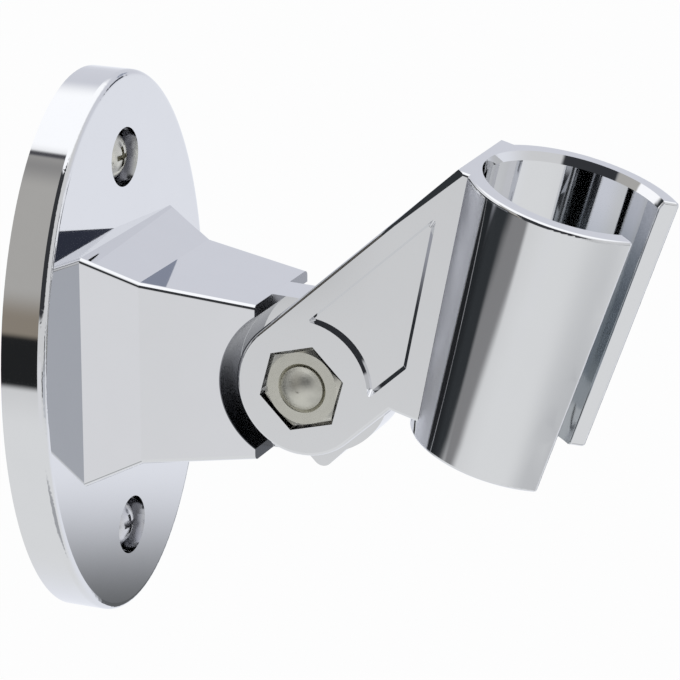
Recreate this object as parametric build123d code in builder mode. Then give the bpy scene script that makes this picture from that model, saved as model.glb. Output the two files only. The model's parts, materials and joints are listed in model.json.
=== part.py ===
from build123d import *

import os
from math import asin, atan2, cos, hypot, radians, sin, sqrt, tan

# Oval wall plate. The origin is at the centre of its back face, with +X out of the wall and +Z up
plate_height = 77.0
plate_width = 50.7
plate_thickness = 6.4
plate_edge_radius = 1.0

# Arm cast on the plate, in two straight stages: a flared root and a long taper
arm_root_width = 28.8
arm_root_height = 32.5
arm_neck_width = 23.0
arm_neck_height = 25.7
arm_end_width = 17.7
arm_end_height = 21.75
flare_length = 7.3
arm_length = 23.1
arm_edge_radius = 0.7

# Tongue at the arm's end, with hollowed shoulders beside it and a stop lug below
pivot_reach = 6.5
tongue_thickness = 6.0
tongue_radius = 10.65
shoulder_radius = 11.3
lug_forward = 0.8
lug_rise = 1.95
lug_tip_radius = 1.5
lug_flank_angle = 45.0

# Wall screws, sunk in the plate
screw_spacing = 53.4
screw_diameter = 3.9
screw_neck_diameter = 3.1
screw_run_out = 0.4
screw_length = 9.5
screw_point_length = 3.0
screw_head_diameter = 7.5
screw_head_height = 2.8
screw_head_rim = 0.4
screw_cross_width = 0.7
screw_cross_reach = 2.8
screw_cross_depth = 1.2
screw_hole_clearance = 0.25
screw_head_clearance = 0.35
screw_head_sunk = 0.2

# Pivot bolt and nut
bolt_diameter = 6.0
bolt_crown = 1.0
bolt_point_width = 0.45
bolt_end_proud = 1.5
bolt_head_diameter = 10.5
bolt_head_height = 3.3
bolt_head_rim = 0.8
bolt_key_size = 4.0
bolt_key_depth = 2.0
bolt_running_clearance = 0.06
bolt_hole_clearance = 0.2
bolt_head_clearance = 0.4
bolt_head_sunk = 0.3
nut_size = 10.0
nut_height = 3.2
nut_chamfer_angle = 30.0
nut_countersink = 0.4
nut_thread_clearance = 0.03
nut_pocket_clearance = 0.42
nut_turn = 30.0
nut_sunk = 0.2

# Friction washers between the tongue and the cheeks
washer_thickness = 0.5
washer_diameter = 16.0
washer_hole_clearance = 0.15
washer_face_clearance = 0.05

# Holder casting: a forked bar that swings on the pivot and carries a split conical socket
socket_tilt = 15.0
socket_reach = 26.6
socket_rise = 37.0
socket_length = 37.4
socket_top_radius = 14.9
socket_bottom_radius = 12.85
bore_mouth_radius = 12.65
bore_lead_width = 0.45
bore_lead_depth = 1.2
bore_bottom_radius = 10.6
socket_back_wall = 1.25
socket_rim_radius = 0.5
slot_mouth_width = 19.2
slot_flare_angle = 33.0
slot_lean = 3.9
slot_edge_radius = 0.4
bar_width = 19.0
bar_depth = 16.8
bar_foot_rise = 2.3
bar_edge_radius = 0.5
fork_clearance = 0.45
panel_margin = 3.0
panel_depth = 0.9
panel_lower_draft = 0.53
panel_crease_draft = 0.72
panel_upper_draft = 0.25
panel_round_draft = 0.1
panel_corner_radius = 0.3
bevel_width = 1.0
bevel_length = 24.0
bevel_angle = 25.0

# Places that follow from the sizes above
arm_end = plate_thickness + arm_length
pivot_x = arm_end + pivot_reach
pivot = (pivot_x, 0, 0)
half_bar = bar_depth / 2
bar_radius = bar_width / 2
half_gap = tongue_thickness / 2 + washer_thickness + 2 * washer_face_clearance
socket_bottom = socket_rise - socket_length

# Side plane through the pivot, seen from the near side: x runs out from the wall and y runs up
side_plane = Plane(origin=pivot, x_dir=(1, 0, 0), z_dir=(0, -1, 0))

# The same plane turned with the socket: x runs out square to the socket and y runs along its axis
tilt = radians(socket_tilt)
holder_plane = Plane(origin=pivot, x_dir=(cos(tilt), 0, -sin(tilt)), z_dir=(0, -1, 0))

# Plane through the pivot that holds its axis, for turned profiles: x is the radius and y runs along the axis
pivot_profile = Plane(origin=pivot, x_dir=(1, 0, 0), z_dir=(0, 0, 1))
pivot_axis = Axis(pivot, (0, 1, 0))


def meeting_point(start, direction, other_start, other_direction):
    """The point where two lines in a plane cross."""
    across = direction[0] * other_direction[1] - direction[1] * other_direction[0]
    gap = (other_start[0] - start[0], other_start[1] - start[1])
    along = (gap[0] * other_direction[1] - gap[1] * other_direction[0]) / across
    return (start[0] + along * direction[0], start[1] + along * direction[1])


def socket_radius(height):
    """Outer radius of the socket at a height on its axis above the pivot."""
    share = (height - socket_bottom) / socket_length
    return socket_bottom_radius + share * (socket_top_radius - socket_bottom_radius)


# Outline of the bar in the holder's plane: its two sides run off the round end, the upper one to the
# corner behind the socket's mouth
upper_corner = (socket_reach - bore_mouth_radius - socket_back_wall, socket_rise)
bar_angle = atan2(upper_corner[1], upper_corner[0]) - asin(bar_radius / hypot(*upper_corner))
bar_direction = (cos(bar_angle), sin(bar_angle))
bar_across = (-bar_direction[1], bar_direction[0])
corner_along = upper_corner[0] * bar_direction[0] + upper_corner[1] * bar_direction[1]
level = (1, 0)
bar_foot = socket_bottom + bar_foot_rise


def bar_point(along, across):
    """A point at a distance along the bar from the pivot and a distance across it, towards its upper side."""
    return (
        bar_direction[0] * along + bar_across[0] * across,
        bar_direction[1] * along + bar_across[1] * across,
    )


upper_tangent = bar_point(0, bar_radius)
lower_tangent = bar_point(0, -bar_radius)
lower_corner = meeting_point(lower_tangent, bar_direction, (0, bar_foot), level)

# Crease where the bar's flat side meets the cone, and the outline of the sunk panel inside it
crease_top = (socket_reach - sqrt(socket_top_radius**2 - half_bar**2), socket_rise)
crease_foot = (socket_reach - sqrt(socket_radius(bar_foot) ** 2 - half_bar**2), bar_foot)
crease_length = hypot(crease_top[0] - crease_foot[0], crease_top[1] - crease_foot[1])
crease_direction = (
    (crease_top[0] - crease_foot[0]) / crease_length,
    (crease_top[1] - crease_foot[1]) / crease_length,
)


def panel_outline(upper_margin, lower_margin, crease_margin):
    """Corners of the panel, from its margins to the bar's upper side, its lower side and the crease."""
    inner_upper = bar_point(0, bar_radius - upper_margin)
    inner_lower = bar_point(0, lower_margin - bar_radius)
    inner_crease = (
        crease_foot[0] - crease_margin * crease_direction[1],
        crease_foot[1] + crease_margin * crease_direction[0],
    )
    return [
        inner_lower,
        meeting_point(inner_lower, bar_direction, inner_crease, crease_direction),
        meeting_point(inner_upper, bar_direction, inner_crease, crease_direction),
        inner_upper,
    ]


# Wall bracket: plate, arm, tongue and stop lug in one casting
with BuildPart() as wall_bracket:
    with BuildSketch(Plane.YZ):
        Ellipse(plate_width / 2, plate_height / 2)
    extrude(amount=plate_thickness)
    fillet(wall_bracket.edges().sort_by(Axis.X)[-1], plate_edge_radius)

    with BuildSketch(Plane.YZ.offset(plate_thickness)):
        RectangleRounded(arm_root_width, arm_root_height, arm_edge_radius)
    with BuildSketch(Plane.YZ.offset(plate_thickness + flare_length)):
        RectangleRounded(arm_neck_width, arm_neck_height, arm_edge_radius)
    with BuildSketch(Plane.YZ.offset(arm_end)):
        RectangleRounded(arm_end_width, arm_end_height, arm_edge_radius)
    loft(ruled=True)

    # Hollowed shoulders, one each side of the tongue
    for side in (1, -1):
        with BuildSketch(side_plane.offset(side * tongue_thickness / 2)):
            Circle(shoulder_radius)
        extrude(amount=side * arm_root_width, mode=Mode.SUBTRACT)

    # Tongue with its round end and the stop lug
    lug_tip = tongue_radius + lug_rise
    lug_point = lug_tip + lug_tip_radius / sin(radians(lug_flank_angle)) - lug_tip_radius
    lug_half_width = lug_point * tan(radians(lug_flank_angle)) / 2
    with BuildSketch(side_plane):
        Circle(tongue_radius)
        with BuildLine():
            Polyline(
                (-pivot_reach, arm_end_height / 2),
                (0, tongue_radius),
                (0, -tongue_radius),
                (-pivot_reach, -arm_end_height / 2),
                close=True,
            )
        make_face()
        with BuildSketch(mode=Mode.PRIVATE) as lug:
            with BuildLine():
                Polyline(
                    (lug_forward - lug_half_width, -lug_point / 2),
                    (lug_forward, -lug_point),
                    (lug_forward + lug_half_width, -lug_point / 2),
                    close=True,
                )
            make_face()
            fillet(lug.vertices().sort_by(Axis.Y)[0], lug_tip_radius)
        add(lug.sketch)
    extrude(amount=tongue_thickness / 2, both=True)

    with BuildSketch(side_plane):
        Circle(bolt_diameter / 2 + bolt_running_clearance)
    extrude(amount=tongue_thickness, both=True, mode=Mode.SUBTRACT)

    # Counterbored holes for the wall screws
    with Locations(Plane.YZ.offset(plate_thickness)):
        with Locations((0, screw_spacing / 2), (0, -screw_spacing / 2)):
            CounterBoreHole(
                radius=screw_diameter / 2 + screw_hole_clearance,
                counter_bore_radius=screw_head_diameter / 2 + screw_head_clearance,
                counter_bore_depth=screw_head_height + screw_head_sunk,
            )
wall_bracket.part.label = "wall_bracket"

# Holder: the forked bar and the split socket in one casting
with BuildPart() as socket_holder:
    with BuildSketch(holder_plane):
        Circle(bar_radius)
        with BuildLine():
            Polyline(
                upper_tangent,
                upper_corner,
                (socket_reach, socket_rise),
                (socket_reach, bar_foot),
                lower_corner,
                lower_tangent,
                close=True,
            )
        make_face()
    extrude(amount=half_bar, both=True)
    bar_sides = socket_holder.faces().filter_by(Axis.Y)
    fillet(bar_sides.edges(), bar_edge_radius)

    # Ground bevels on the bar's upper edges, from nothing to their full width at the socket
    for side in (1, -1):
        for share in (0.01, 1.2):
            along = corner_along - bevel_length * (1 - share)
            width = bevel_width * share
            depth = width * tan(radians(bevel_angle))
            section = Plane(
                origin=holder_plane.from_local_coords((*bar_point(along, bar_radius), side * half_bar)),
                x_dir=holder_plane.x_dir * bar_across[0] + holder_plane.y_dir * bar_across[1],
                z_dir=holder_plane.x_dir * bar_direction[0] + holder_plane.y_dir * bar_direction[1],
            )
            with BuildSketch(section):
                with BuildLine():
                    Polyline(
                        (-1.5 * width, side * depth / 2),
                        (width / 2, side * -1.5 * depth),
                        (width, side * width),
                        close=True,
                    )
                make_face()
        loft(ruled=True, mode=Mode.SUBTRACT)

    # Fork gap for the tongue and its washers, deeper in its upper half, where the arm's corner turns past
    relief = hypot(pivot_reach, arm_end_height / 2) + fork_clearance
    with BuildSketch(holder_plane):
        Circle(tongue_radius + fork_clearance)
        with BuildLine():
            bow = ThreePointArc(bar_point(relief, 0), bar_point(0, relief), bar_point(-relief, 0))
            Line(bow @ 1, bow @ 0)
        make_face()
    extrude(amount=half_gap, both=True, mode=Mode.SUBTRACT)

    # Conical socket wall, turned about the socket's axis
    with BuildSketch(holder_plane) as wall_profile:
        with BuildLine():
            Polyline(
                (socket_reach, socket_bottom),
                (socket_reach + socket_bottom_radius, socket_bottom),
                (socket_reach + socket_top_radius, socket_rise),
                (socket_reach, socket_rise),
                close=True,
            )
        make_face()
        fillet(wall_profile.vertices().sort_by(Axis.X)[-2:], socket_rim_radius)
    socket_foot = holder_plane.from_local_coords((socket_reach, socket_bottom, 0))
    socket_axis = Axis(socket_foot, holder_plane.y_dir)
    revolve(axis=socket_axis)

    # The socket's back is cut off straight by the bar's upper side
    below_corner = (
        upper_corner[0] - socket_length * bar_direction[0],
        upper_corner[1] - socket_length * bar_direction[1],
    )
    with BuildSketch(holder_plane):
        with BuildLine():
            Polyline(upper_corner, below_corner, (below_corner[0], socket_rise), close=True)
        make_face()
    extrude(amount=half_bar, both=True, mode=Mode.SUBTRACT)

    # Tapered bore with a short lead-in at its mouth
    bore_top = socket_rise - bore_lead_depth
    with BuildSketch(holder_plane):
        with BuildLine():
            Polyline(
                (socket_reach, socket_bottom),
                (socket_reach + bore_bottom_radius, socket_bottom),
                (socket_reach + bore_mouth_radius - bore_lead_width, bore_top),
                (socket_reach + bore_mouth_radius, socket_rise),
                (socket_reach, socket_rise),
                close=True,
            )
        make_face()
    revolve(axis=socket_axis, mode=Mode.SUBTRACT)

    # Flared slot through the front of the wall, leaning a little from the socket's axis
    socket_mouth = holder_plane.from_local_coords((socket_reach, socket_rise, 0))
    mouth_plane = Plane(origin=socket_mouth, x_dir=holder_plane.x_dir, z_dir=holder_plane.y_dir)
    slot_edge_out = sqrt(socket_top_radius**2 - (slot_mouth_width / 2) ** 2)
    slot_point = slot_edge_out - slot_mouth_width / 2 / tan(radians(slot_flare_angle))
    slot_end = 2 * socket_top_radius
    slot_end_half = (slot_end - slot_point) * tan(radians(slot_flare_angle))
    lean = radians(slot_lean)
    slot_path = holder_plane.x_dir * -sin(lean) - holder_plane.y_dir * cos(lean)
    with BuildSketch(mouth_plane):
        with BuildLine():
            Polyline((slot_point, 0), (slot_end, slot_end_half), (slot_end, -slot_end_half), close=True)
        make_face()
    extrude(amount=2 * socket_length, dir=slot_path, mode=Mode.SUBTRACT)
    cut_faces = socket_holder.faces(Select.LAST)
    turned_aside = cut_faces.filter_by(lambda face: abs(face.normal_at().Y) > sin(radians(45)))
    slot_ends = turned_aside.sort_by(Axis(pivot, holder_plane.x_dir))[-2:]
    fillet(slot_ends.edges(), slot_edge_radius)

    # Sunk panel on each side of the bar: steep at its round end and upper side, sloped at the other two
    drafts = (panel_upper_draft, panel_lower_draft, panel_crease_draft)
    for side in (1, -1):
        for share in (0, 1):
            margins = [panel_margin + share * draft for draft in drafts]
            with BuildSketch(holder_plane.offset(side * (half_bar - share * panel_depth))) as panel:
                with BuildLine():
                    Polyline(*panel_outline(*margins), close=True)
                make_face()
                Circle(bar_radius + share * panel_round_draft, mode=Mode.SUBTRACT)
                fillet(panel.vertices(), panel_corner_radius)
        loft(ruled=True, mode=Mode.SUBTRACT)

    # Hexagonal pocket for the nut on the near side, round sink for the bolt's head on the far side
    with BuildSketch(holder_plane.offset(half_bar)):
        RegularPolygon(nut_size / 2 + nut_pocket_clearance, 6, major_radius=False, rotation=nut_turn)
    extrude(amount=-nut_height - nut_sunk, mode=Mode.SUBTRACT)
    with BuildSketch(holder_plane.offset(-half_bar)):
        Circle(bolt_head_diameter / 2 + bolt_head_clearance)
    extrude(amount=bolt_head_height + bolt_head_sunk, mode=Mode.SUBTRACT)
    with BuildSketch(holder_plane):
        Circle(bolt_diameter / 2 + bolt_hole_clearance)
    extrude(amount=half_bar, both=True, mode=Mode.SUBTRACT)
socket_holder.part.label = "socket_holder"

# Pivot bolt: button head with a key hole on the far side, crowned end on the near side
head_seat = half_bar - bolt_head_sunk - bolt_head_height
bolt_end = -half_bar + nut_sunk - bolt_end_proud
bolt_radius = bolt_diameter / 2
with BuildPart() as pivot_bolt:
    with BuildSketch(pivot_profile):
        with BuildLine():
            end = TangentArc(
                (0, bolt_end),
                (bolt_radius - bolt_point_width, bolt_end + bolt_crown),
                tangent=(1, 0),
            )
            crown = TangentArc(
                (0, head_seat + bolt_head_height),
                (bolt_head_diameter / 2, head_seat + bolt_head_rim),
                tangent=(1, 0),
            )
            Polyline(
                end @ 1,
                (bolt_radius, bolt_end + bolt_crown + bolt_point_width),
                (bolt_radius, head_seat),
                (bolt_head_diameter / 2, head_seat),
                crown @ 1,
            )
            Line(crown @ 0, end @ 0)
        make_face()
    revolve(axis=pivot_axis)
    with BuildSketch(side_plane.offset(-head_seat - bolt_head_height)):
        RegularPolygon(bolt_key_size / 2, 6, major_radius=False)
    extrude(amount=bolt_key_depth, mode=Mode.SUBTRACT)
pivot_bolt.part.label = "pivot_bolt"

# Nut with chamfered corners and a countersunk hole, seated in its pocket
nut_face = half_bar - nut_sunk
nut_hole = bolt_radius + nut_thread_clearance
nut_corner = nut_size / 2 / cos(radians(30))
chamfer_drop = (nut_corner - nut_size / 2) * tan(radians(nut_chamfer_angle))
with BuildPart() as pivot_nut:
    with BuildSketch(holder_plane.offset(nut_face)):
        RegularPolygon(nut_size / 2, 6, major_radius=False, rotation=nut_turn)
    extrude(amount=-nut_height)
    with BuildSketch(pivot_profile):
        with BuildLine():
            Polyline(
                (nut_hole, -nut_face + nut_countersink),
                (nut_hole + nut_countersink, -nut_face),
                (nut_size / 2, -nut_face),
                (nut_corner, -nut_face + chamfer_drop),
                (nut_corner, -nut_face + nut_height - chamfer_drop),
                (nut_size / 2, -nut_face + nut_height),
                (nut_hole + nut_countersink, -nut_face + nut_height),
                (nut_hole, -nut_face + nut_height - nut_countersink),
                close=True,
            )
        make_face()
    revolve(axis=pivot_axis, mode=Mode.INTERSECT)
pivot_nut.part.label = "pivot_nut"


def friction_washer(side, label):
    """A thin ring between the tongue and the cheek on one side."""
    near_tongue = tongue_thickness / 2 + washer_face_clearance
    with BuildPart() as washer:
        with BuildSketch(side_plane.offset(side * near_tongue)):
            Circle(washer_diameter / 2)
            Circle(bolt_radius + washer_hole_clearance, mode=Mode.SUBTRACT)
        extrude(amount=side * washer_thickness)
    washer.part.label = label
    return washer.part


def wall_screw(height, label):
    """A pan-head screw with a cross recess: its slim neck is in the plate and its thread in the wall."""
    seat = plate_thickness - screw_head_sunk - screw_head_height
    top = seat + screw_head_height
    profile = Plane(origin=(0, 0, height), x_dir=(0, 1, 0), z_dir=(0, 0, 1))
    with BuildPart() as screw:
        with BuildSketch(profile):
            with BuildLine():
                crown = TangentArc(
                    (0, -top),
                    (screw_head_diameter / 2, -seat - screw_head_rim),
                    tangent=(1, 0),
                )
                Polyline(
                    crown @ 1,
                    (screw_head_diameter / 2, -seat),
                    (screw_neck_diameter / 2, -seat),
                    (screw_neck_diameter / 2, -screw_run_out),
                    (screw_diameter / 2, 0),
                    (screw_diameter / 2, screw_length - seat - screw_point_length),
                    (0, screw_length - seat),
                    crown @ 0,
                )
            make_face()
        revolve(axis=Axis((0, 0, height), (1, 0, 0)))
        with BuildSketch(Plane.YZ.offset(top)):
            with Locations((0, height)):
                Rectangle(screw_cross_reach, screw_cross_width)
                Rectangle(screw_cross_width, screw_cross_reach)
        extrude(amount=-screw_cross_depth, mode=Mode.SUBTRACT)
    screw.part.label = label
    return screw.part


os.makedirs("parts", exist_ok=True)
pieces = [
    wall_bracket.part,
    socket_holder.part,
    pivot_bolt.part,
    pivot_nut.part,
    friction_washer(1, "near_friction_washer"),
    friction_washer(-1, "far_friction_washer"),
    wall_screw(screw_spacing / 2, "upper_wall_screw"),
    wall_screw(-screw_spacing / 2, "lower_wall_screw"),
]
for piece in pieces:
    export_step(piece, f"parts/{piece.label}.step")
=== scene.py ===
import json
from math import cos, degrees, pi, radians, sin

import bmesh
import bpy
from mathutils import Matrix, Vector


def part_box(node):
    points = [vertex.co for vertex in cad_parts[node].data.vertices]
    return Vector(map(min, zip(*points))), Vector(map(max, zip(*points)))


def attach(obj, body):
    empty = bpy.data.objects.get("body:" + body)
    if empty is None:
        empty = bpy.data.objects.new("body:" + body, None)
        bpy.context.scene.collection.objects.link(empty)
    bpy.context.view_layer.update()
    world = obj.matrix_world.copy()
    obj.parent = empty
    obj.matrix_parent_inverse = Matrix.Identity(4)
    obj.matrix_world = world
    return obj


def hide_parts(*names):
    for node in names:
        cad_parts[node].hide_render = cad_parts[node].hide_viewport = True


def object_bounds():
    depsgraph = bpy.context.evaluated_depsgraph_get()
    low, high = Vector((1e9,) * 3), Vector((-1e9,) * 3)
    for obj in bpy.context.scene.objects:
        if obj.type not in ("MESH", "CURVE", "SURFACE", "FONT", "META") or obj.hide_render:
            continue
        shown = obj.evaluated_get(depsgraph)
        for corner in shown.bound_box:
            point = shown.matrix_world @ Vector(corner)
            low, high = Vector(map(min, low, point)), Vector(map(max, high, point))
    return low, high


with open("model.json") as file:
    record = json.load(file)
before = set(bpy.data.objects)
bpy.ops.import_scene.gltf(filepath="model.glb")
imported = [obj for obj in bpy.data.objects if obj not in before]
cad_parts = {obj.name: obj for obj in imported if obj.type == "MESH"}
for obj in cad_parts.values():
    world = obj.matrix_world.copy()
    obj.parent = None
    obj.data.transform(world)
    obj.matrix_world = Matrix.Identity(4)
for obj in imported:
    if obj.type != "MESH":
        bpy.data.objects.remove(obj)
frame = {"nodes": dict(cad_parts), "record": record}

MM = 0.001
nodes = frame["nodes"]
record = frame["record"]
wall_mount, socket_mount = record["mounts"]
cad_low, cad_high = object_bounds()

# The photo's camera: where it looks, from where, and how long its lens is
PHOTO_SIZE = 680
SENSOR_WIDTH = 36.0
CAMERA_TARGET = Vector((38.07, 0.0, 4.56)) * MM
CAMERA_DISTANCE = 485.4 * MM
CAMERA_AZIMUTH = radians(22.81)
CAMERA_ELEVATION = radians(18.16)
FOCAL_PIXELS = 3610.0

# Floor, well below the holder because the holder hangs on a wall
FLOOR_DROP = 200 * MM
FLOOR_REACH = 4.0
FLOOR_DARK = (0.86, 0.86, 0.86)
FLOOR_LIGHT = (0.88, 0.88, 0.88)
FLOOR_WHITE_SHARE = 0.94

# The arm's end round the pivot, with a hollow shoulder each side of the tongue. An edge, here and below, says
# where a finish or a painted shade starts to change and where it is done
PIVOT = Vector(record["behaviour"]["joints"][0]["pos_m"])
ARM_END = PIVOT.x - 6.5 * MM
SHOULDER_RADIUS = 11.3 * MM
TONGUE_HALF = 3.0 * MM
SHOULDER_FADE = 9 * MM
HOLLOW_EDGE = (0.10 * MM, 0.16 * MM)
ARM_END_EDGE = (0.04 * MM, 0.08 * MM)
TONGUE_EDGE = (TONGUE_HALF + 0.02 * MM, TONGUE_HALF + 0.12 * MM)

# The socket: the middle of its mouth, its axis, its bore and cone, and the flat side of the bar behind it
MOUTH = Vector(socket_mount["pos_m"])
SOCKET_AXIS = Vector(socket_mount["axis"])
BORE_MOUTH_RADIUS = 12.65 * MM
BORE_TOP_RADIUS = 12.2 * MM
BORE_FOOT_RADIUS = 10.6 * MM
BORE_LEAD_DEPTH = 1.2 * MM
SOCKET_LENGTH = 37.4 * MM
CONE_MOUTH_RADIUS = 14.9 * MM
CONE_FOOT_RADIUS = 12.85 * MM
BAR_HALF = 8.4 * MM
CONE_EDGE = (0.1 * MM, 0.2 * MM)
BORE_EDGE = (0.1 * MM, 0.18 * MM)
LIPS_FORWARD = (2 * MM, 8 * MM)
BORE_DULL_SHADE_DEPTH = (9 * MM, 22 * MM)
# The brushed corners: the cone beside the bar, off the bore and the rim, and up to a place towards the front
BAR_EDGE = (BAR_HALF, BAR_HALF + 0.15 * MM)
OUTSIDE_EDGE = (BORE_MOUTH_RADIUS + 0.05 * MM, BORE_MOUTH_RADIUS + 0.15 * MM)
RIM_EDGE = (0.6 * MM, 0.9 * MM)
BRUSHED_FRONT = (-4 * MM, -3 * MM)
# How far round the cone, as a sine from the bar's direction, the brushed corner and its run-out of painted
# shade end
BRUSHED_END = (0.825, 0.845)
RUN_OUT_END = (0.885, 0.92)

# Wall screws: the thread is cut into the plain shank of the CAD screw, behind its neck
SCREW_RADIUS = wall_mount["dims"]["stud_r_mm"] * MM
SCREW_HEIGHT = wall_mount["dims"]["spacing_y_mm"] / 2 * MM
SCREW_NECK_RADIUS = 1.55 * MM
SCREW_NECK_END = 0.4 * MM
SCREW_POINT_LENGTH = 3.0 * MM
CROWN_RADIUS = 2.35 * MM
CROWN_FADE = 0.9 * MM
HEAD_EDGE = (SCREW_NECK_END + 0.4 * MM, SCREW_NECK_END + 0.6 * MM)
THREAD_PITCH = 1.4 * MM
THREAD_START = 0.6 * MM
THREAD_FLANK = 0.3
THREAD_RINGS = 14
THREAD_SIDES = 48
SHARP_ANGLE = radians(30)
CUT_MARGIN = 0.01 * MM
WELD_DISTANCE = 0.001 * MM

# The studio as the polished metal sees it: a pale ground, a bright ceiling and cards in front of them.
# Azimuth 0 is towards the viewer's side and 90 is straight out of the wall, in degrees
GROUND_NEAR = (0.83, 0.84, 0.845)
GROUND_FAR = (0.73, 0.735, 0.74)
GROUND_FADE = (-28.0, -15.0)
BACK_LOW = (0.89, 0.91, 0.97)
BACK_HIGH = (0.73, 0.745, 0.81)
BACK_FADE = (-8.0, 12.0)
BACK_START = (-0.2, 0.6)
CEILING = (1.22, 1.23, 1.25)
CEILING_FADE = (40.0, 57.0)
# Each card: first and last azimuth, lowest and highest elevation, soft edge in azimuth and in elevation,
# and colour
STUDIO_CARDS = {
    "left_wall": (-56, -22, -4, 53, 4, 2, (0.47, 0.46, 0.44)),
    "left_wall_top": (-64, -22, 45, 53, 4, 9, (0.31, 0.305, 0.30)),
    "left_wall_edge": (-70, -22, 52.6, 54.4, 4, 1.2, (0.08, 0.08, 0.09)),
    "left_wall_foot": (-58, -22, -12, 5, 4, 9, (0.29, 0.255, 0.21)),
    "left_dark": (-118, -44, -17.5, 21, 6, 3, (0.035, 0.039, 0.043)),
    "left_high_light": (-100, -55, 20.5, 31, 4, 2, (1.2, 1.2, 1.22)),
    "left_low_light": (-72, -50, -11.3, -4, 4, 1, (0.45, 0.46, 0.50)),
    "left_low_dark": (-50, -23.5, -17, -3.7, 3, 2, (0.018, 0.019, 0.02)),
    "left_floor_edge": (-56, -31, -20.5, -15, 5, 2.5, (0.26, 0.26, 0.265)),
    "front_floor_light": (-9, 32, -27, -9, 16, 5, (0.82, 0.825, 0.845)),
    "front_dark": (-22, 45, 2, 54, 5, 4, (0.04, 0.042, 0.047)),
    "right_dark": (44, 56, -19, -13, 3, 2, (0.03, 0.032, 0.035)),
    "right_shade": (58, 92, -22, -13, 10, 4, (0.56, 0.58, 0.62)),
    "right_low_dark": (73, 85, -15, -8.5, 2, 2, (0.035, 0.037, 0.04)),
    "right_back_dark": (108, 139, -15.5, -9.5, 4, 2, (0.02, 0.022, 0.025)),
    "back_dark": (138, 153, 4, 16, 6, 5, (0.035, 0.04, 0.06)),
    "back_upper_shade": (154, 168, 18, 28, 5, 5, (0.33, 0.36, 0.45)),
    "back_floor_shade": (146, 179, -45, -21.3, 8, 2.6, (0.13, 0.135, 0.14)),
    "near_floor_shade": (14, 76, -62, -42, 14, 6, (0.42, 0.43, 0.45)),
}

# The pieces' own colours, each between a darker and a lighter tone
CHROME = ((0.765, 0.77, 0.785), (0.785, 0.79, 0.805))
NICKEL = ((0.64, 0.63, 0.57), (0.72, 0.71, 0.64))
BRIGHT_STEEL = ((0.64, 0.64, 0.655), (0.72, 0.72, 0.735))
BLACK_PLASTIC = ((0.018, 0.018, 0.02), (0.035, 0.035, 0.038))
WHITE = (1.0, 1.0, 1.0)
# Painted shade in the hollow shoulders, in the run-out beside the brushed corners, deep in the bore and on
# the rims of the screw heads down in their holes; and the lighter tint of the brushed corners, which the
# buffing wheel only brushes
SHOULDER_SHADES = ((0.07, 0.075, 0.085), (0.33, 0.335, 0.36))
BRUSHED_TINT = (0.90, 0.91, 0.96)
RUN_OUT_SHADE = (0.48, 0.485, 0.50)
BORE_SHADE = (0.52, 0.545, 0.565)
SCREW_RIM_SHADE = (0.24, 0.24, 0.26)
# Roughness of the chrome, and what each of those places adds to it
CHROME_ROUGHNESS = 0.02
CHROME_HAZE = 0.035
SHOULDER_DULLNESS = 0.2
BRUSHED_DULLNESS = 0.36
BORE_DULLNESS = 0.06
LIPS_DULLNESS = 0.2
# Roughness of the other pieces, and what their marks and grain add to it
BRIGHT_ROUGHNESS = 0.16
NICKEL_ROUGHNESS = 0.2
BOLT_ROUGHNESS = 0.4
MARKS_DULLNESS = 0.12
PLASTIC_ROUGHNESS = 0.45
GRAIN_DULLNESS = 0.2
# How deep the marks of the tools are, as the strength of the bump
NUT_MARKS = 0.12
SCREW_MARKS = 0.03


class Socket:
    """A shader value that takes part in Python expressions: each operator adds one Math node."""

    def __init__(self, tree, output):
        self.tree = tree
        self.output = output

    def math(self, operation, *values, clamp=False):
        return self.tree.node(
            "ShaderNodeMath", {"operation": operation, "use_clamp": clamp}, dict(enumerate(values))
        ).out()

    def __add__(self, other):
        return self.math("ADD", self, other)

    def __radd__(self, other):
        return self.math("ADD", other, self)

    def __sub__(self, other):
        return self.math("SUBTRACT", self, other)

    def __rsub__(self, other):
        return self.math("SUBTRACT", other, self)

    def __mul__(self, other):
        return self.math("MULTIPLY", self, other)

    def __rmul__(self, other):
        return self.math("MULTIPLY", other, self)

    def __truediv__(self, other):
        return self.math("DIVIDE", self, other)

    def __rtruediv__(self, other):
        return self.math("DIVIDE", other, self)

    def absolute(self):
        return self.math("ABSOLUTE", self)

    def radius_with(self, other):
        """How far a point is from an axis, from its two distances across it."""
        return self.math("POWER", self * self + other * other, 0.5)

    def clamped(self):
        return self.math("ADD", self, 0.0, clamp=True)


class Node:
    """One shader node, with its outputs as Sockets."""

    def __init__(self, tree, made):
        self.tree = tree
        self.made = made

    def out(self, name=0):
        return Socket(self.tree, self.made.outputs[name])


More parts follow.
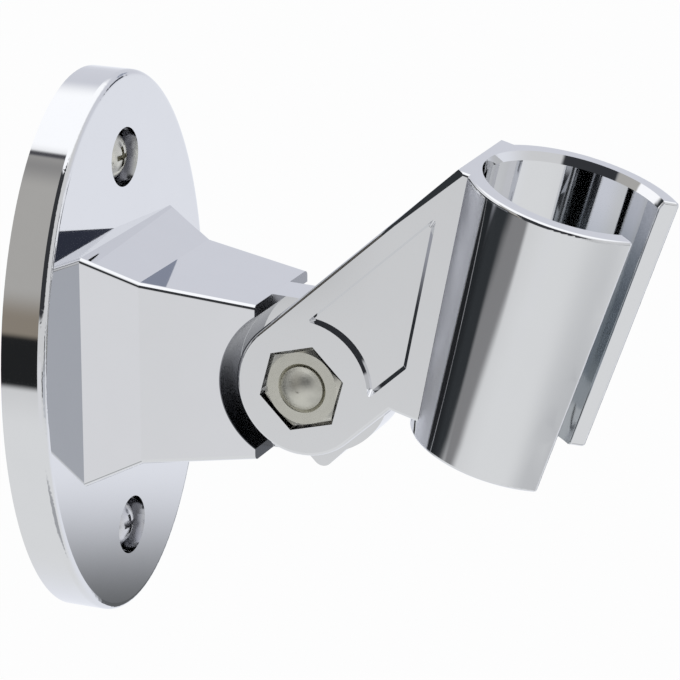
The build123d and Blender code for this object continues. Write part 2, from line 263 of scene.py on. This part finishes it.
class Tree:
    """A node tree that is built from calls."""

    def __init__(self, node_tree):
        self.node_tree = node_tree
        node_tree.nodes.clear()

    def node(self, kind, settings=None, inputs=None):
        """Adds a node: its settings first, then the value or link of each socket."""
        made = self.node_tree.nodes.new(kind)
        for name, value in (settings or {}).items():
            setattr(made, name, value)
        for name, value in (inputs or {}).items():
            if isinstance(value, Socket):
                self.node_tree.links.new(value.output, made.inputs[name])
            else:
                made.inputs[name].default_value = value
        return Node(self, made)

    def mixed(self, share, first, second):
        """The first colour where share is 0 and the second where it is 1."""
        return self.node(
            "ShaderNodeMix",
            {"data_type": "RGBA"},
            {"Factor": share, 6: rgba(first), 7: rgba(second)},
        ).out(2)

    def smooth(self, value, start, end):
        """0 below start, 1 above end, with a soft step between them."""
        return self.node(
            "ShaderNodeMapRange",
            {"interpolation_type": "SMOOTHSTEP"},
            {"Value": value, "From Min": start, "From Max": end},
        ).out()

    def near(self, offset, full, none):
        """1 within full of a surface, on either side of it, and 0 beyond none."""
        return 1.0 - self.smooth(offset.absolute(), full, none)

    def place(self):
        """The point's place in the object's own frame, and the same split into X, Y and Z."""
        place = self.node("ShaderNodeTexCoord").out("Object")
        parts = self.node("ShaderNodeSeparateXYZ", {}, {0: place})
        return place, parts.out("X"), parts.out("Y"), parts.out("Z")

    def noise(self, place, scale, detail):
        """A soft random pattern from 0 to 1."""
        sockets = {"Vector": place, "Scale": scale, "Detail": detail}
        return self.node("ShaderNodeTexNoise", {}, sockets).out()

    def bump(self, height, strength, depth):
        """Surface directions tilted by a pattern of heights."""
        sockets = {"Height": height, "Strength": strength, "Distance": depth}
        return self.node("ShaderNodeBump", {}, sockets).out()

    def seen(self):
        """1 for what the camera sees straight or through glass, and 0 for light and reflections."""
        path = self.node("ShaderNodeLightPath")
        return (path.out("Is Camera Ray") + path.out("Is Transmission Ray")).clamped()

    def surface(self, sockets):
        """The material's shader, from the values and links of its sockets."""
        shader = self.node("ShaderNodeBsdfPrincipled", {}, sockets)
        self.node("ShaderNodeOutputMaterial", {}, {"Surface": shader.out()})


def rgba(colour):
    """A colour as a socket takes it."""
    return colour if isinstance(colour, Socket) else (*colour, 1.0)


def studio():
    """The world: white for the camera, cards and soft light for everything else."""
    world = bpy.data.worlds.new("studio")
    bpy.context.scene.world = world
    world.use_nodes = True
    tree = Tree(world.node_tree)
    direction = tree.node("ShaderNodeTexCoord").out("Generated")
    parts = tree.node("ShaderNodeSeparateXYZ", {}, {0: direction})
    out, aside, up = parts.out("X"), parts.out("Y"), parts.out("Z")
    azimuth = out.math("ARCTAN2", out, aside * -1.0) * degrees(1)
    elevation = up.math("ARCSINE", up) * degrees(1)

    ground = tree.mixed(tree.smooth(elevation, *GROUND_FADE), GROUND_NEAR, GROUND_FAR)
    back = tree.mixed(tree.smooth(elevation, *BACK_FADE), BACK_LOW, BACK_HIGH)
    colour = tree.mixed(tree.smooth(aside, *BACK_START), ground, back)
    colour = tree.mixed(tree.smooth(elevation, *CEILING_FADE), colour, CEILING)
    for first, last, low, high, soft_side, soft_height, card in STUDIO_CARDS.values():
        inside = (
            tree.smooth(azimuth, first - soft_side / 2, first + soft_side / 2)
            * (1.0 - tree.smooth(azimuth, last - soft_side / 2, last + soft_side / 2))
            * tree.smooth(elevation, low - soft_height / 2, low + soft_height / 2)
            * (1.0 - tree.smooth(elevation, high - soft_height / 2, high + soft_height / 2))
        )
        colour = tree.mixed(inside, colour, card)

    shown = tree.mixed(tree.seen(), colour, WHITE)
    background = tree.node("ShaderNodeBackground", {}, {"Color": shown, "Strength": 1.0})
    tree.node("ShaderNodeOutputWorld", {}, {"Surface": background.out()})


def new_material(name):
    """A material with an empty node tree."""
    material = bpy.data.materials.new(name)
    material.use_nodes = True
    return material, Tree(material.node_tree)


def hollow_shoulders(tree, out, aside, up):
    """1 on the arm's end beside the tongue, which the buffing wheel doesn't reach, so it is rougher, and
    which is painted dark as painted shade in the hollow, and 0 elsewhere.
    """
    radius = (out - PIVOT.x).radius_with(up - PIVOT.z)
    on_hollow = tree.near(radius - SHOULDER_RADIUS, *HOLLOW_EDGE)
    on_end = tree.near(out - ARM_END, *ARM_END_EDGE)
    off_tongue = tree.smooth(aside.absolute(), *TONGUE_EDGE)
    return (on_hollow + on_end).clamped() * off_tongue


def in_socket(out, aside, up):
    """A point's place by the socket: forward of its axis, aside, out from it, and down from its mouth."""
    from_mouth = out - MOUTH.x
    above_mouth = up - MOUTH.z
    forward = from_mouth * SOCKET_AXIS.z - above_mouth * SOCKET_AXIS.x
    down = from_mouth * -SOCKET_AXIS.x - above_mouth * SOCKET_AXIS.z
    return forward, aside.absolute(), forward.radius_with(aside), down


def socket_creases(tree, forward, aside, radius, down):
    """1 on the cone in the corners beside the bar, which the buffing wheel only brushes, and 0 elsewhere.

    The second mask adds the narrow run-out next to them, which is painted darker as painted shade in the
    corner."""
    beside_bar = tree.smooth(aside, *BAR_EDGE)
    behind = 1.0 - tree.smooth(forward, *BRUSHED_FRONT)
    outside = tree.smooth(radius, *OUTSIDE_EDGE)
    below_rim = tree.smooth(down, *RIM_EDGE)
    corner = beside_bar * behind * outside * below_rim
    round_cone = aside / radius
    brushed = corner * (1.0 - tree.smooth(round_cone, *BRUSHED_END))
    run_out_shade = corner * (1.0 - tree.smooth(round_cone, *RUN_OUT_END))
    return brushed, run_out_shade


def socket_lips(tree, forward, radius, down):
    """1 on the cone's front beside the slot, which is rubbed a little softer, and 0 elsewhere."""
    narrowing = (CONE_MOUTH_RADIUS - CONE_FOOT_RADIUS) / SOCKET_LENGTH
    off_cone = radius - CONE_MOUTH_RADIUS + down * narrowing
    return tree.near(off_cone, *CONE_EDGE) * tree.smooth(forward, *LIPS_FORWARD)


def bore_depth(tree, radius, down):
    """0 at the bore's mouth and off the bore, rising to 1 down its wall, which is dulled and painted darker
    there as painted shade.
    """
    narrowing = (BORE_TOP_RADIUS - BORE_FOOT_RADIUS) / (SOCKET_LENGTH - BORE_LEAD_DEPTH)
    off_bore = radius - BORE_TOP_RADIUS + (down - BORE_LEAD_DEPTH) * narrowing
    return tree.near(off_bore, *BORE_EDGE) * tree.smooth(down, *BORE_DULL_SHADE_DEPTH)


def shaded_screw_rims(tree, out, aside, up):
    """1 on the rim of a wall screw's head, down in its hole, which is painted dark as painted shade from the
    hole's wall, and 0 elsewhere.
    """
    radius = aside.radius_with(up.absolute() - SCREW_HEIGHT)
    on_head = tree.smooth(out, *HEAD_EDGE)
    return tree.smooth(radius, CROWN_RADIUS, CROWN_RADIUS + CROWN_FADE) * on_head


def chrome_plate(name, with_shoulders=False, with_socket=False):
    """Polished chrome: nearly a mirror, with a faint waviness from the casting and the buffing wheel."""
    material, tree = new_material(name)
    place, out, aside, up = tree.place()
    haze = tree.noise(place, scale=240.0, detail=3.0)
    waves = tree.noise(place, scale=60.0, detail=1.0)
    tint = tree.mixed(haze, *CHROME)
    roughness = CHROME_ROUGHNESS + CHROME_HAZE * haze
    if with_shoulders:
        shoulders = hollow_shoulders(tree, out, aside, up)
        rise = tree.smooth(up - PIVOT.z, -SHOULDER_FADE, SHOULDER_FADE)
        # Painted shade: the hollow shoulders are painted dark, darkest low down and lighter towards the top
        tint = tree.mixed(shoulders, tint, tree.mixed(rise, *SHOULDER_SHADES))
        roughness = roughness + SHOULDER_DULLNESS * shoulders
    if with_socket:
        forward, off_middle, radius, down = in_socket(out, aside, up)
        brushed, run_out_shade = socket_creases(tree, forward, off_middle, radius, down)
        bore = bore_depth(tree, radius, down)
        lips = socket_lips(tree, forward, radius, down)
        # Painted shade: the run-out beside the brushed corners is painted darker
        tint = tree.mixed(run_out_shade, tint, RUN_OUT_SHADE)
        tint = tree.mixed(brushed, tint, BRUSHED_TINT)
        # Painted shade: the bore's wall is painted darker further down
        tint = tree.mixed(bore, tint, BORE_SHADE)
        roughness = roughness + BRUSHED_DULLNESS * brushed + BORE_DULLNESS * bore + LIPS_DULLNESS * lips
    normal = tree.bump(waves, strength=0.02, depth=0.2 * MM)
    tree.surface({"Base Color": tint, "Metallic": 1.0, "Roughness": roughness, "Normal": normal})
    return material


def plated_steel(name, tones, roughness, tool_marks, with_rim_shade=False):
    """Plated steel fasteners: a soft gloss with fine marks from the tools that made them."""
    material, tree = new_material(name)
    place, out, aside, up = tree.place()
    marks = tree.noise(place, scale=900.0, detail=4.0)
    cloud = tree.noise(place, scale=300.0, detail=2.0)
    tint = tree.mixed(cloud, *tones)
    if with_rim_shade:
        # Painted shade: the rims of the screw heads down in their holes are painted dark
        tint = tree.mixed(shaded_screw_rims(tree, out, aside, up), tint, SCREW_RIM_SHADE)
    normal = tree.bump(marks, strength=tool_marks, depth=0.05 * MM)
    gloss = roughness + MARKS_DULLNESS * marks
    tree.surface({"Base Color": tint, "Metallic": 1.0, "Roughness": gloss, "Normal": normal})
    return material


def friction_ring():
    """Moulded black plastic with a fine matt grain."""
    material, tree = new_material("friction_ring")
    place = tree.node("ShaderNodeTexCoord").out("Object")
    grain = tree.noise(place, scale=1800.0, detail=2.0)
    tint = tree.mixed(grain, *BLACK_PLASTIC)
    roughness = PLASTIC_ROUGHNESS + GRAIN_DULLNESS * grain
    normal = tree.bump(grain, strength=0.25, depth=0.05 * MM)
    tree.surface({"Base Color": tint, "Roughness": roughness, "Normal": normal})
    return material


def floor_paint():
    """Pale floor that the camera sees as white, with the shadow kept."""
    material, tree = new_material("floor_paint")
    grain = tree.noise(tree.node("ShaderNodeTexCoord").out("Object"), scale=3.0, detail=2.0)
    paint = tree.node("ShaderNodeBsdfDiffuse", {}, {"Color": tree.mixed(grain, FLOOR_DARK, FLOOR_LIGHT)})
    glow = tree.node("ShaderNodeEmission", {}, {"Color": rgba(WHITE), "Strength": 1.0})
    white = tree.seen() * FLOOR_WHITE_SHARE
    mix = tree.node("ShaderNodeMixShader", {}, {0: white, 1: paint.out(), 2: glow.out()})
    tree.node("ShaderNodeOutputMaterial", {}, {"Surface": mix.out()})
    return material


def floor():
    """The plain stage below the holder, which reflections leave out."""
    mesh = bpy.data.meshes.new("floor")
    low = cad_low.z - FLOOR_DROP
    corners = [(-1, -1), (1, -1), (1, 1), (-1, 1)]
    mesh.from_pydata([(x * FLOOR_REACH, y * FLOOR_REACH, low) for x, y in corners], [], [(0, 1, 2, 3)])
    made = bpy.data.objects.new("floor", mesh)
    bpy.context.scene.collection.objects.link(made)
    made.data.materials.append(floor_paint())
    made.visible_glossy = False


def camera():
    """The photo's view."""
    data = bpy.data.cameras.new("camera")
    data.sensor_width = SENSOR_WIDTH
    data.lens = FOCAL_PIXELS / PHOTO_SIZE * SENSOR_WIDTH
    made = bpy.data.objects.new("camera", data)
    bpy.context.scene.collection.objects.link(made)
    back = Vector(
        (
            sin(CAMERA_AZIMUTH) * cos(CAMERA_ELEVATION),
            -cos(CAMERA_AZIMUTH) * cos(CAMERA_ELEVATION),
            sin(CAMERA_ELEVATION),
        )
    )
    made.location = CAMERA_TARGET + back * CAMERA_DISTANCE
    made.rotation_mode = "QUATERNION"
    made.rotation_quaternion = (-back).to_track_quat("-Z", "Y")
    bpy.context.scene.camera = made


def thread_ring(mesh, along, tip, height):
    """One ring of the thread at a place along the screw: a core with the ridge where the helix passes."""
    outside = SCREW_RADIUS * min(1.0, (along - tip) / SCREW_POINT_LENGTH)
    core = outside * SCREW_NECK_RADIUS / SCREW_RADIUS
    rise = (outside - core) * min(1.0, (SCREW_NECK_END - along) / THREAD_START)
    ring = []
    for side in range(THREAD_SIDES):
        turn = side / THREAD_SIDES
        from_crest = abs((along / THREAD_PITCH - turn) % 1.0 - 0.5)
        radius = core + rise * max(0.0, 1.0 - from_crest / THREAD_FLANK)
        angle = 2 * pi * turn
        ring.append(mesh.verts.new((along, radius * cos(angle), height + radius * sin(angle))))
    return ring


def threaded_screw(node, name, finish):
    """A wall screw with its head and neck as in CAD and a helical thread in place of the plain shank."""
    low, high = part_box(node)
    height = (low.z + high.z) / 2
    mesh = bmesh.new()
    mesh.from_mesh(nodes[node].data)
    behind_neck = SCREW_NECK_END + CUT_MARGIN
    shank = [face for face in mesh.faces if all(corner.co.x < behind_neck for corner in face.verts)]
    bmesh.ops.delete(mesh, geom=shank, context="FACES")
    bmesh.ops.remove_doubles(mesh, verts=mesh.verts, dist=WELD_DISTANCE)

    count = int((SCREW_NECK_END - low.x) / THREAD_PITCH * THREAD_RINGS)
    step = (SCREW_NECK_END - low.x) / count
    rings = [thread_ring(mesh, SCREW_NECK_END - step * place, low.x, height) for place in range(count)]
    point = mesh.verts.new((low.x, 0.0, height))
    for side in range(THREAD_SIDES):
        following = (side + 1) % THREAD_SIDES
        for upper, lower in zip(rings, rings[1:]):
            mesh.faces.new((upper[side], upper[following], lower[following], lower[side]))
        mesh.faces.new((rings[-1][side], rings[-1][following], point))
    bmesh.ops.recalc_face_normals(mesh, faces=mesh.faces)
    for face in mesh.faces:
        face.smooth = True
    for edge in mesh.edges:
        edge.smooth = edge.calc_face_angle(0.0) < SHARP_ANGLE

    made = bpy.data.objects.new(name, bpy.data.meshes.new(name))
    mesh.to_mesh(made.data)
    mesh.free()
    made.data.materials.append(finish)
    bpy.context.scene.collection.objects.link(made)
    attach(made, "bracket")
    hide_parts(node)


def finish_nodes():
    """Gives each piece its finish."""
    nickel = plated_steel("nickel_steel", NICKEL, NICKEL_ROUGHNESS, NUT_MARKS)
    bolt_nickel = plated_steel("bolt_nickel", NICKEL, BOLT_ROUGHNESS, NUT_MARKS)
    screw_nickel = plated_steel("screw_nickel", NICKEL, NICKEL_ROUGHNESS, SCREW_MARKS, with_rim_shade=True)
    bright = plated_steel("bright_steel", BRIGHT_STEEL, BRIGHT_ROUGHNESS, SCREW_MARKS, with_rim_shade=True)
    ring = friction_ring()
    finishes = {
        "wall_bracket": chrome_plate("bracket_chrome", with_shoulders=True),
        "socket_holder": chrome_plate("holder_chrome", with_socket=True),
        "pivot_bolt": bolt_nickel,
        "pivot_nut": nickel,
        "upper_wall_screw": screw_nickel,
        "lower_wall_screw": bright,
        "near_friction_washer": ring,
        "far_friction_washer": ring,
    }
    threaded_screw("upper_wall_screw", "upper_threaded_screw", screw_nickel)
    threaded_screw("lower_wall_screw", "lower_threaded_screw", bright)
    for name, finish in finishes.items():
        materials = nodes[name].data.materials
        materials.clear()
        materials.append(finish)


bpy.context.scene.view_settings.view_transform = "Standard"
studio()
floor()
camera()
finish_nodes()
